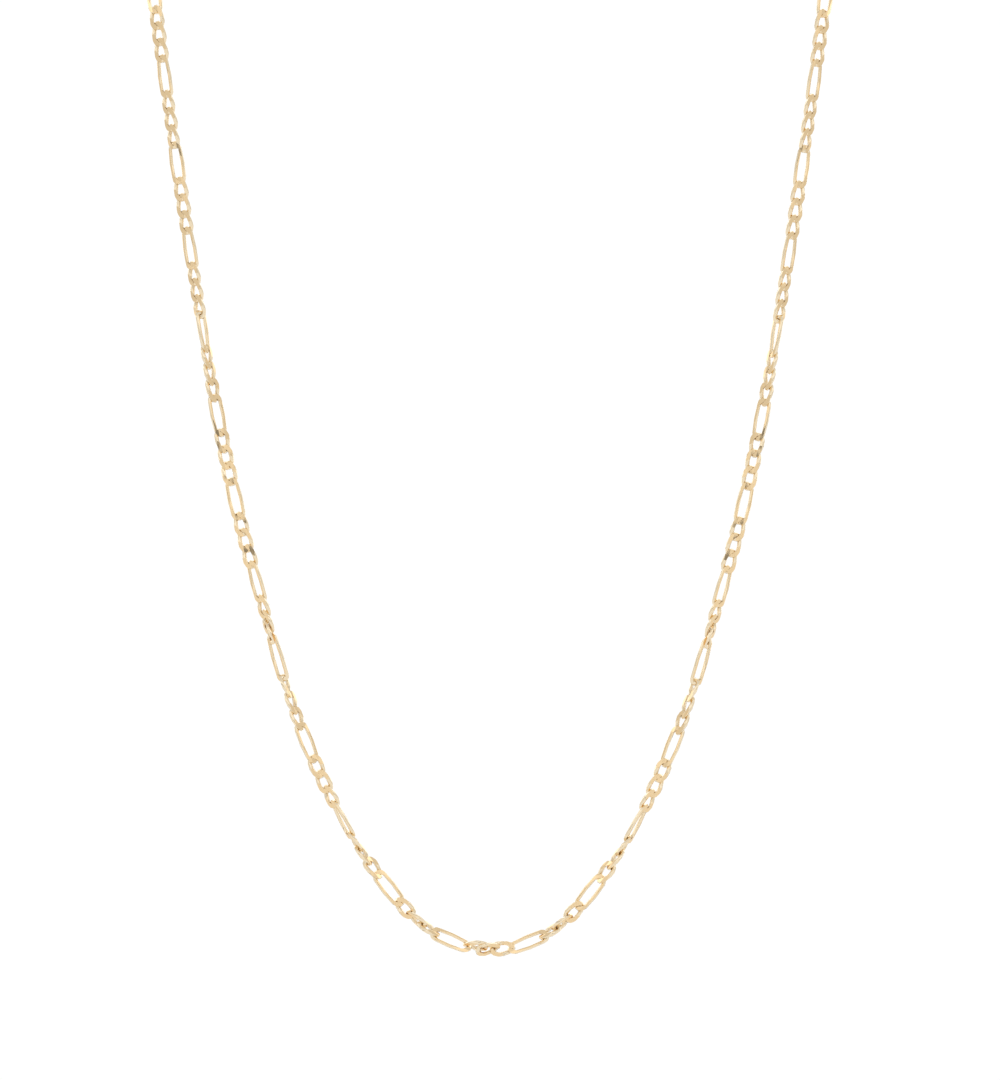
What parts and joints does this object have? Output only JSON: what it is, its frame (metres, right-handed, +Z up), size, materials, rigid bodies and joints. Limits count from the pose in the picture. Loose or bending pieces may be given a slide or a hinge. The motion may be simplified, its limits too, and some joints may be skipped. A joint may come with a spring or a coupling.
{
  "type": "figaro chain necklace",
  "caption": "Closed figaro chain necklace in its hanging form, flat short and long oval links in turn, with a spring ring clasp at the nape.",
  "frame": {"origin": "the middle of the nape stretch, at the clasp, where the back of a neck carries the chain", "axes": "+Z up as worn, -Y towards the front where the chain hangs lowest, +X to the right of someone who faces its front"},
  "size_m": [0.098, 0.0509, 0.1456],
  "materials": {
    "chain_gold": "polished pale yellow gold, filed flat in front and behind",
    "clasp_gold": "polished pale yellow gold"
  },
  "bodies": {
    "root": {"chain_right": "chain_gold", "chain_left": "chain_gold", "clasp": "clasp_gold"}
  },
  "joints": []
}
